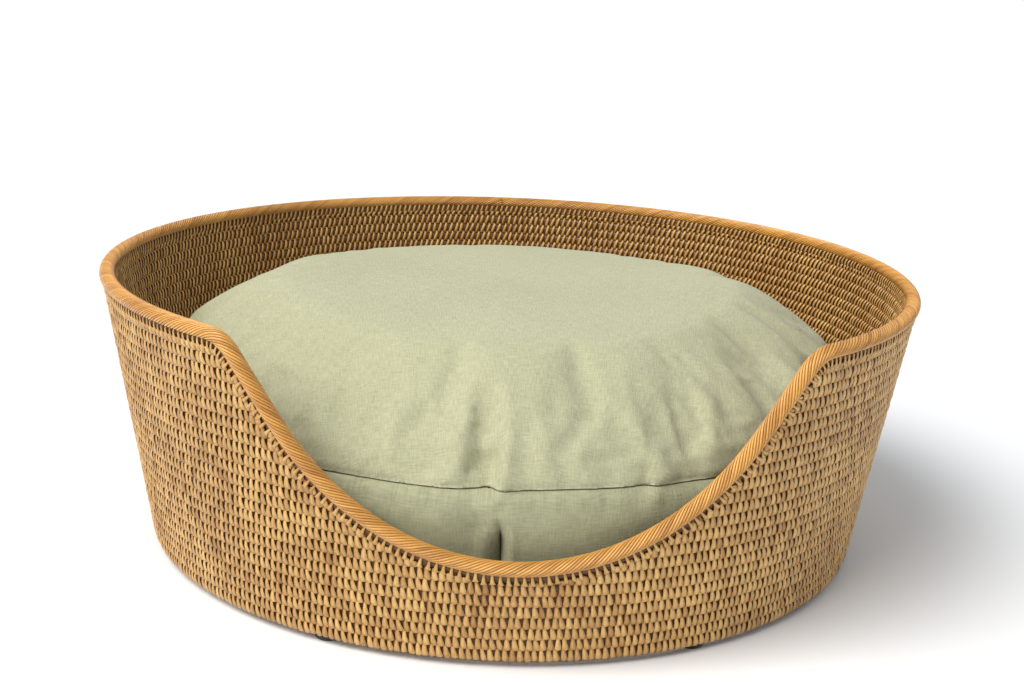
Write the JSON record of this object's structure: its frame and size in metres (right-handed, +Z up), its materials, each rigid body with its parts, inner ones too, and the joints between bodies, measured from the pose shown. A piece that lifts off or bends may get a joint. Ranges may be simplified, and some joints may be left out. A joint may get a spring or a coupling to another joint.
{
  "type": "wicker pet bed basket",
  "caption": "Round coiled-rattan pet basket with a scooped front entrance, cane-wrapped rim, rubber feet and a lift-out cushion with a zipped cover.",
  "frame": {"origin": "on the ground, below the middle of the overall box; the basket's own axis is 11 mm nearer the entrance", "axes": "+Z up, the entrance faces -Y, +X to the right seen from the entrance"},
  "size_m": [0.639, 0.617, 0.2155],
  "materials": {
    "woven_cane": "satin",
    "rim_wrapping": "satin",
    "rattan_pole": "matte",
    "foot_rubber": "matte",
    "screw_steel": "satin",
    "cover_linen": "matte",
    "pad_lining": "matte",
    "zip_tape_fabric": "matte",
    "zip_teeth": "satin",
    "zip_metal": "satin"
  },
  "bodies": {
    "basket": {"wall_course_01": "woven_cane", "wall_course_02": "woven_cane", "wall_course_03": "woven_cane", "wall_course_04": "woven_cane", "wall_course_05": "woven_cane", "wall_course_06": "woven_cane", "wall_course_07": "woven_cane", "wall_course_08": "woven_cane", "wall_course_09": "woven_cane", "wall_course_10": "woven_cane", "wall_course_11": "woven_cane", "wall_course_12": "woven_cane", "wall_course_13": "woven_cane", "wall_course_14": "woven_cane", "wall_course_15": "woven_cane", "wall_course_16": "woven_cane", "wall_course_17": "woven_cane", "wall_course_18": "woven_cane", "wall_course_19": "woven_cane", "wall_course_20": "woven_cane", "wall_course_21": "woven_cane", "wall_course_22": "woven_cane", "wall_course_23": "woven_cane", "wall_course_24": "woven_cane", "rim_core_pole": "rattan_pole", "rim_cane_wrapping": "rim_wrapping", "floor_coil": "woven_cane", "base_hoop": "rattan_pole", "foot_front_right": "foot_rubber", "foot_side_right": "foot_rubber", "foot_back_right": "foot_rubber", "foot_back_left": "foot_rubber", "foot_side_left": "foot_rubber", "foot_front_left": "foot_rubber", "foot_screw_front_right": "screw_steel", "foot_screw_side_right": "screw_steel", "foot_screw_back_right": "screw_steel", "foot_screw_back_left": "screw_steel", "foot_screw_side_left": "screw_steel", "foot_screw_front_left": "screw_steel"},
    "cushion": {"cushion_cover_bottom": "cover_linen", "cushion_cover_band": "cover_linen", "cushion_cover_top": "cover_linen", "cushion_inner_pad": "pad_lining", "zip_tape": "zip_tape_fabric", "zip_chain": "zip_teeth", "zip_stop_right": "zip_metal", "zip_stop_left": "zip_metal"},
    "zip_slider": {"zip_slider": "zip_metal"},
    "zip_pull": {"zip_pull": "zip_metal"}
  },
  "joints": [
    {"name": "cushion_lift", "type": "slide", "parent": "basket", "child": "cushion", "axis": [0, 0, 1], "range_m": [0, 0.22]},
    {"name": "zip_slide", "type": "hinge", "parent": "cushion", "child": "zip_slider", "pos_m": [0, -0.01136, 0.0968], "axis": [0, 0, 1], "range_deg": [0, 63.6]},
    {"name": "zip_pull_swing", "type": "hinge", "parent": "zip_slider", "child": "zip_pull", "pos_m": [0.14994, 0.22884, 0.0968], "axis": [0.5295, 0.8483, 0], "range_deg": [-60, 60]}
  ]
}
